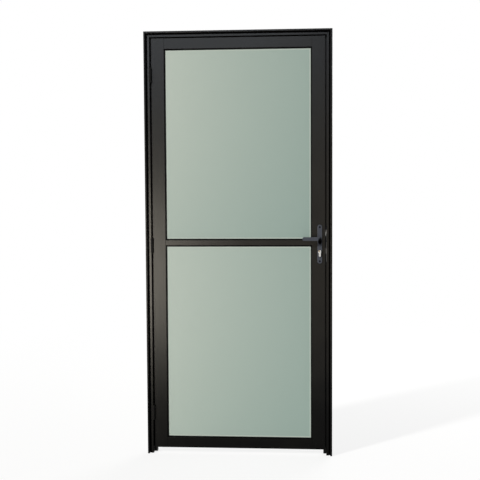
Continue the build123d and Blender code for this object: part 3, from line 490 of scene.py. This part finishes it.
def brushedSteel(name, pale, dull, bands=()):
    def layers(place):
        lines = noise(place, lockSteel["lineSize"], detail=2, stretch=lockSteel["lineStretch"])
        stain = noise(place, lockSteel["stainSize"], detail=3)
        colour = blend(ease(stain, *lockSteel["stainRange"]), pale, dull)
        edge = lockSteel["bandEdge"]
        # painted glints in bands
        for low, high, share in bands:
            [z] = axes(place, "Z")
            band = lesser(ease(z, low, low + edge), fade(z, high - edge, high))
            band = band * (lockSteel["glintLeast"] + lockSteel["glintSwing"] * stain) * share
            colour = blend(band, colour, lockSteel["wearAndGlint"])
        rough = lockSteel["roughness"] + sway(lines, lockSteel["lineRough"]) + sway(stain, lockSteel["stainRough"])
        return {"Base Color": colour, "Roughness": rough, "Normal": bump(lines, lockSteel["lineDepth"])}

    return makeFinish(name, {"Metallic": 1.0}, layers)


dress(brushedSteel("brushed_steel", lockSteel["pale"], lockSteel["dull"]),
      "lock_case", "latch_bolt", "dead_bolt", "spindle", "lock_follower")
# the edge plates: painted shade with painted glints
for name, bands in lockSteel["bands"].items():
    dress(brushedSteel("painted_shade_glints_" + name, lockSteel["plate"], lockSteel["plateStain"], bands), name)


# satin chrome of the key cylinder, brass showing at the plug's upper side, with a painted shade towards the edge of
# the leaf and painted shade in the keyway
chrome = {
    "lockX": 0.4035, "plugLevel": 1.0245,
    "pale": (0.70, 0.69, 0.66), "roughness": 0.20, "wornSize": 0.004, "wornRough": 0.14,
    "brass": (0.36, 0.25, 0.13), "brassAcross": (-0.002, 0.003), "brassUp": (-0.003, 0.002),
    "brassLeast": 0.6, "brassSwing": 0.4,
    # painted shade on the plug's side towards the edge of the leaf
    "shadedSide": (0.075, 0.077, 0.082), "shadedSideAcross": (0.0035, 0.0072),
    "keyway": (0.010, 0.009, 0.008), "keywayHalf": (0.00075, 0.00085), "keywayDeep": (0.0263, 0.0270),
    "ring": 0.0007, "ringRough": 0.04, "ringDepth": 0.000006,   # one turned ring
}


def satinChrome(place):
    x, y, z = axes(place)
    acrossPlug = x - chrome["lockX"]
    upPlug = z - chrome["plugLevel"]
    radius = length(place.node("CombineXYZ", {}, {"X": acrossPlug, "Z": upPlug}))
    rings = place.math("SINE", radius * (2 * math.pi / chrome["ring"]))
    wearAndGlint = noise(place, chrome["wornSize"], detail=3)
    brass = fade(acrossPlug, *chrome["brassAcross"]) * ease(upPlug, *chrome["brassUp"])
    brass = brass * (chrome["brassLeast"] + chrome["brassSwing"] * wearAndGlint)
    # painted shade inside the keyway
    slot = fade(abs(acrossPlug), *chrome["keywayHalf"]) * fade(abs(y), *chrome["keywayDeep"])
    colour = blend(brass, chrome["pale"], chrome["brass"])
    # painted shade on the side towards the edge of the leaf
    colour = blend(ease(acrossPlug, *chrome["shadedSideAcross"]), colour, chrome["shadedSide"])
    return {"Base Color": blend(slot, colour, chrome["keyway"]),
            "Roughness": chrome["roughness"] + rings * chrome["ringRough"] + sway(wearAndGlint, chrome["wornRough"]),
            "Normal": bump(rings * 0.5 + 0.5, chrome["ringDepth"])}


dress(makeFinish("satin_chrome", {"Metallic": 1.0}, satinChrome),
      "cylinder_body", "front_plug", "back_plug", "cylinder_cam")


# screws: zinc on the edges of the leaf and the frame, black on the plates
screw = {
    "zinc": (0.50, 0.51, 0.52), "dull": (0.30, 0.30, 0.31), "zincRough": 0.34,
    "grey": (0.0035, 0.0035, 0.0038), "black": (0.0012, 0.0012, 0.0012), "blackRough": 0.45,
    "turnedSize": 0.0008, "turnedRough": 0.2, "turnedDepth": 0.00002,
    "stainSize": 0.004, "stainRange": (0.35, 0.7),
}


def screwFinish(name, pale, dark, rough):
    def layers(place):
        turned = noise(place, screw["turnedSize"], detail=2)
        stain = noise(place, screw["stainSize"], detail=3)
        return {"Base Color": blend(ease(stain, *screw["stainRange"]), pale, dark),
                "Roughness": rough + sway(turned, screw["turnedRough"]),
                "Normal": bump(turned, screw["turnedDepth"])}

    return makeFinish(name, {"Metallic": 1.0}, layers)


dress(screwFinish("zinc_screw", screw["zinc"], screw["dull"], screw["zincRough"]),
      "strike_screws", "hinge_frame_screws", "hinge_door_screws", "faceplate_screws", "cylinder_screw")
dress(screwFinish("black_screw", screw["grey"], screw["black"], screw["blackRough"]), "plate_screws")
print("small parts dressed")


# painted shade: thin dark slabs laid on the screw heads stand in for the shaded cross recesses
recess = {
    "deep": (0.006, 0.006, 0.006), "metal": (0.05, 0.05, 0.05), "black": (0.001, 0.001, 0.001), "roughness": 0.5,
    "armShare": 0.55, "widthShare": 0.15,    # of the head's radius
    "taperShare": 0.7,                       # an arm's tip, of its root
    "rise": 0.00004,                         # how far the recess is drawn over the head
    "weld": 0.000001, "rimDepth": 0.00001,   # to find the heads in the mesh
    "heads": {   # body, the way that the heads face, and finish
        "hinge_frame_screws": ("frame", (1, 0, 0), "metal"), "hinge_door_screws": ("leaf", (-1, 0, 0), "metal"),
        "strike_screws": ("frame", (-1, 0, 0), "metal"), "faceplate_screws": ("leaf", (1, 0, 0), "metal"),
        "cylinder_screw": ("leaf", (1, 0, 0), "metal"), "plate_screws": ("leaf", (0, -1, 0), "black"),
    },
}


def screwHeads(name, facing):  # middle and radius of each head
    shape = bmesh.new()
    shape.from_mesh(cad[name].data)
    bmesh.ops.remove_doubles(shape, verts=shape.verts, dist=recess["weld"])
    waiting, heads = set(shape.verts), []
    for first in list(shape.verts):
        if first not in waiting:
            continue
        waiting.discard(first)
        grown = [first]
        for vert in grown:
            for edge in vert.link_edges:
                other = edge.other_vert(vert)
                if other in waiting:
                    waiting.discard(other)
                    grown.append(other)
        top = max(vert.co.dot(facing) for vert in grown)
        rim = [vert.co for vert in grown if vert.co.dot(facing) > top - recess["rimDepth"]]
        middle = sum(rim, Vector()) / len(rim)
        heads.append((middle, max((corner - middle).length for corner in rim)))
    shape.free()
    return heads


# lays on each head a thin slab with the painted shade of a cross recess
def layRecessShades(name, body, facing, finish):
    facing = Vector(facing)
    up = Vector((0, 0, 1))
    aside = up.cross(facing)
    shape = bmesh.new()
    for middle, radius in screwHeads(name, facing):
        arm, half = radius * recess["armShare"], radius * recess["widthShare"]
        tip = half * recess["taperShare"]
        outline = []
        for ahead, beside in ((up, aside), (aside, -up), (-up, -aside), (-aside, up)):   # one arm at a time
            for along, across in ((half, -half), (arm, -tip), (arm, tip)):
                outline.append(middle + ahead * along + beside * across)
        low = [shape.verts.new(corner - facing * recess["rise"]) for corner in outline]
        high = [shape.verts.new(corner + facing * recess["rise"]) for corner in outline]
        shape.faces.new(high)
        shape.faces.new(low[::-1])
        for here in range(len(outline)):
            after = (here + 1) % len(outline)
            shape.faces.new((low[here], low[after], high[after], high[here]))
    bmesh.ops.recalc_face_normals(shape, faces=shape.faces)
    mesh = bpy.data.meshes.new(name + "_recesses")
    shape.to_mesh(mesh)
    shape.free()
    piece = bpy.data.objects.new(name + "_recesses", mesh)
    bpy.context.scene.collection.objects.link(piece)
    mesh.materials.append(finish)
    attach(piece, body)


# painted shade of the recesses: dark grey on the metal heads, black on the black heads
recessFinish = {
    "metal": screwFinish("screw_recess_metal", recess["metal"], recess["deep"], recess["roughness"]),
    "black": screwFinish("screw_recess_black", recess["black"], recess["black"], recess["roughness"]),
}
for name, (body, facing, tone) in recess["heads"].items():
    layRecessShades(name, body, facing, recessFinish[tone])
print("recesses cut in", len(recess["heads"]), "sets of screws")


# floor, world and lamps
studio = {
    "white": (1.0, 1.0, 1.0),
    "paper": (0.86, 0.86, 0.85), "paperRough": 0.8, "paperSpecular": 0.1,
    "fibreSize": 0.004, "fibreTone": 0.98, "fibreRough": 0.1,
    "floorHalf": 14.0, "floorDrop": 0.0005,
    "floorLift": 0.8, "farLift": 0.2, "liftRange": (0.6, 4.5),   # whiter with distance, the shadow stays
    "ambient": 0.28,
    "sun": {   # high on the hinge side, for the shadow under the lever
        "from": (-0.62, -0.60, 0.50), "strength": 3.3, "spread": 5.0, "colour": (1.0, 0.99, 0.97)},
    "back": {
        "at": (1.8, 4.2, 3.0), "aim": (0.0, 0.0, 1.1), "size": (2.5, 2.5),
        "radiance": 7.5, "colour": (1.0, 1.0, 1.0)},
    "boards": {   # only the coated metal mirrors these
        "warmBoard": {
            "at": (-1.04, -2.5, 0.70), "aim": (-1.04, 0.0, 0.70), "size": (0.88, 1.04),
            "radiance": 42.0, "colour": (1.0, 0.93, 0.79)},
        "broadBoard": {
            "at": (-0.2, -2.8, 1.05), "aim": (-0.2, 0.0, 1.05), "size": (2.8, 1.9),
            "radiance": 2.7, "colour": (1.0, 0.84, 0.58)},
        "skyBoard": {
            "at": (-0.8, -4.0, 2.9), "aim": (-0.4, 0.0, 2.0), "size": (2.8, 1.3),
            "radiance": 11.5, "colour": (0.925, 1.0, 1.09)},
    },
}


def seenRays(start):  # straight to the camera, in gloss or through glass
    rays = [start.node("LightPath", out=name) for name in ("Is Camera Ray", "Is Glossy Ray", "Is Transmission Ray")]
    return greater(greater(rays[0], rays[1]), rays[2])


def layFloor():
    half = studio["floorHalf"]
    shape = bpy.data.meshes.new("studioFloor")
    shape.from_pydata([(-half, -half, 0), (half, -half, 0), (half, half, 0), (-half, half, 0)], [], [(0, 1, 2, 3)])
    floor = bpy.data.objects.new("studioFloor", shape)
    floor.location.z = -studio["floorDrop"]
    bpy.context.scene.collection.objects.link(floor)
    finish = bpy.data.materials.new("floor_paper")
    finish.use_nodes = True
    finish.node_tree.nodes.clear()
    start = Wire(finish.node_tree)
    place = start.node("TexCoord", out="Object")
    fibre = noise(place, studio["fibreSize"], detail=3)
    fibrous = [shade * studio["fibreTone"] for shade in studio["paper"]]
    paper = start.node("BsdfPrincipled", {}, {
        "Base Color": blend(fibre, studio["paper"], fibrous),
        "Roughness": studio["paperRough"] + fibre * studio["fibreRough"],
        "Specular IOR Level": studio["paperSpecular"]})
    white = start.node("Emission", {}, {"Color": rgba(studio["white"]), "Strength": 1.0})
    far = ease(length(place), *studio["liftRange"])
    lift = seenRays(start) * (studio["floorLift"] + studio["farLift"] * far)
    start.node("OutputMaterial", {}, {"Surface": start.node("MixShader", {}, {0: lift, 1: paper, 2: white})})
    shape.materials.append(finish)


def lightWorld():
    world = bpy.data.worlds.new("studioWorld")
    bpy.context.scene.world = world
    world.use_nodes = True
    world.node_tree.nodes.clear()
    start = Wire(world.node_tree)
    colour = rgba(studio["white"])
    dull = start.node("Background", {}, {"Color": colour, "Strength": studio["ambient"]})
    white = start.node("Background", {}, {"Color": colour, "Strength": 1.0})
    start.node("OutputWorld", {}, {"Surface": start.node("MixShader", {}, {0: seenRays(start), 1: dull, 2: white})})


def hangLamp(name, lamp):
    light = bpy.data.lights.new(name, "AREA")
    light.shape = "RECTANGLE"
    light.size, light.size_y = lamp["size"]
    light.energy = lamp["radiance"] * math.pi * light.size * light.size_y
    light.color = lamp["colour"]
    holder = bpy.data.objects.new(name, light)
    holder.location = lamp["at"]
    holder.rotation_euler = (Vector(lamp["aim"]) - Vector(lamp["at"])).to_track_quat("-Z", "Y").to_euler()
    holder.visible_camera = False
    bpy.context.scene.collection.objects.link(holder)
    return holder


def hangSun(name, lamp):
    light = bpy.data.lights.new(name, "SUN")
    light.energy = lamp["strength"]
    light.angle = math.radians(lamp["spread"])
    light.color = lamp["colour"]
    holder = bpy.data.objects.new(name, light)
    holder.rotation_euler = (-Vector(lamp["from"])).to_track_quat("-Z", "Y").to_euler()
    bpy.context.scene.collection.objects.link(holder)


def hangBoards():
    mirrors = bpy.data.collections.new("coatedMetal")
    for name in [*coat["members"], *hinge["parts"]]:
        mirrors.objects.link(cad[name])
    for name, board in studio["boards"].items():
        holder = hangLamp(name, board)
        holder.visible_diffuse = False
        holder.light_linking.receiver_collection = mirrors


layFloor()
lightWorld()
hangSun("sunLamp", studio["sun"])
hangLamp("backLamp", studio["back"])
hangBoards()
print("floor and lamps set")


# camera found from the corners of the frame and the panes
camera = {
    "at": (0.32973, -4.47448, 1.35595), "yaw": -0.07206, "pitch": -0.06097, "roll": 0.00531,
    "lens": 67.5, "sensor": 36.0, "farthest": 60,
}


def setCamera():
    yaw, pitch, roll = camera["yaw"], camera["pitch"], camera["roll"]
    ahead = Vector((math.sin(yaw) * math.cos(pitch), math.cos(yaw) * math.cos(pitch), math.sin(pitch)))
    right = Vector((math.cos(yaw), -math.sin(yaw), 0.0))
    down = ahead.cross(right)
    rolledRight = right * math.cos(roll) + down * math.sin(roll)
    rolledDown = down * math.cos(roll) - right * math.sin(roll)
    lens = bpy.data.cameras.new("photoCamera")
    lens.lens = camera["lens"]
    lens.sensor_width = camera["sensor"]
    lens.sensor_fit = "HORIZONTAL"
    lens.clip_end = camera["farthest"]
    holder = bpy.data.objects.new("photoCamera", lens)
    turn = Matrix((rolledRight, -rolledDown, -ahead)).transposed().to_4x4()
    holder.matrix_world = Matrix.Translation(Vector(camera["at"])) @ turn
    bpy.context.scene.collection.objects.link(holder)
    bpy.context.scene.camera = holder


setCamera()
bpy.context.scene.view_settings.view_transform = "Standard"
print("camera set")
